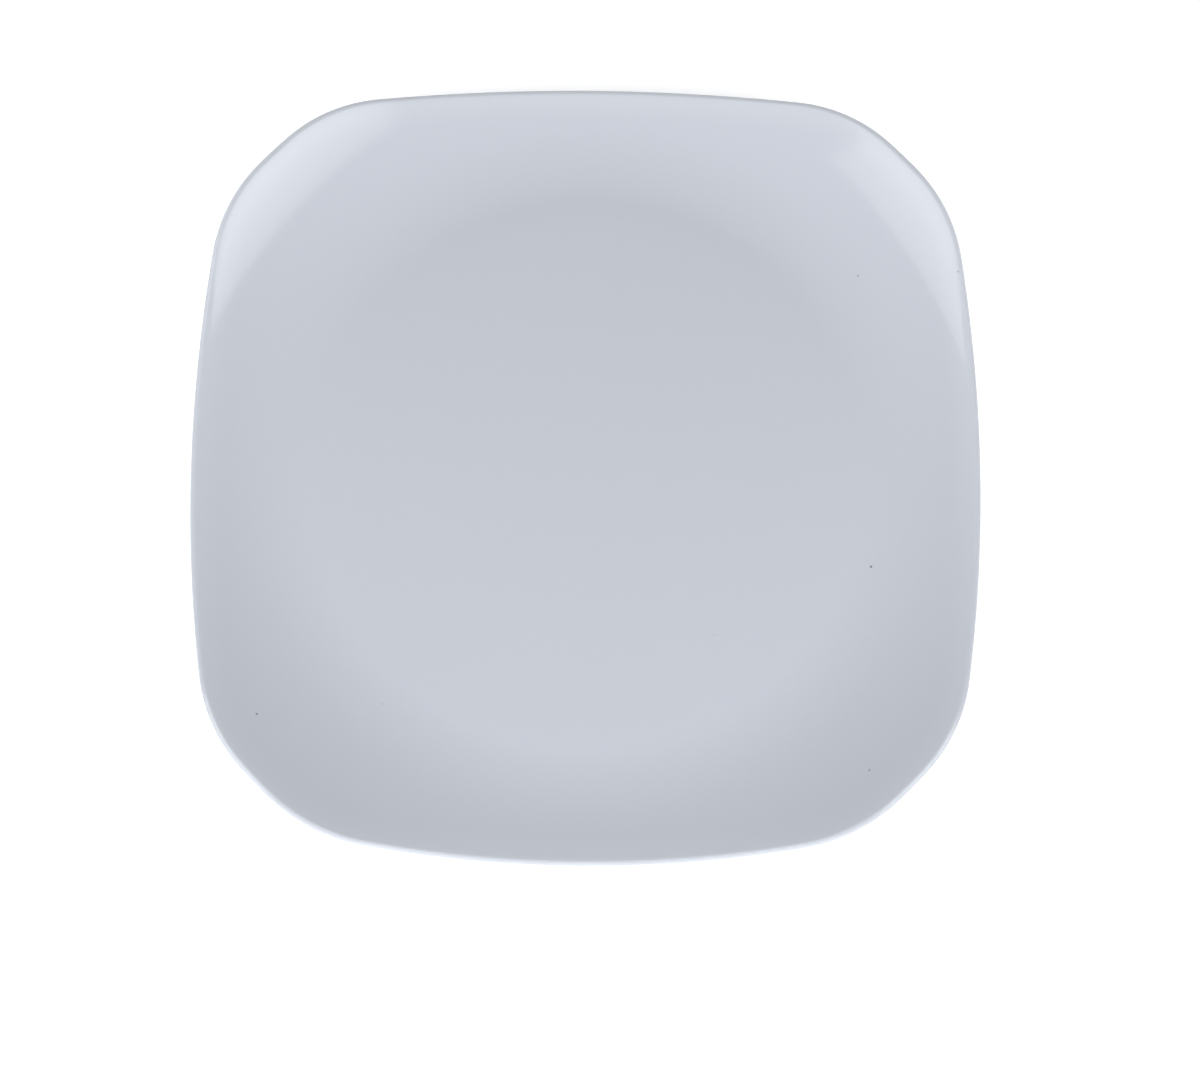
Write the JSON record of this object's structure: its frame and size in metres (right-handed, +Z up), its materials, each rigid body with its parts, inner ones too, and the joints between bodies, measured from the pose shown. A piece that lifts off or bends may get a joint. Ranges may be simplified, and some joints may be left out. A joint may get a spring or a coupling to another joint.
{
  "type": "square plate",
  "caption": "Square dinner plate with bowed sides, rounded corners that sweep up, a round flat well and a foot ring underneath; glazed white porcelain.",
  "frame": {"origin": "centre of the foot ring on the plane of its tread, where the plate meets the table", "axes": "+Z up out of the well; X and Y each run through the middle of two opposite sides, and -Y is the side nearest the viewer in the picture"},
  "size_m": [0.26, 0.26, 0.0257],
  "materials": {
    "biscuit": "bare fired porcelain, ground smooth on the tread",
    "glaze": "glossy cool white glaze"
  },
  "bodies": {
    "root": {"porcelain_body": "biscuit", "glaze_coat": "glaze", "foot_recess_glaze": "glaze"}
  },
  "joints": []
}
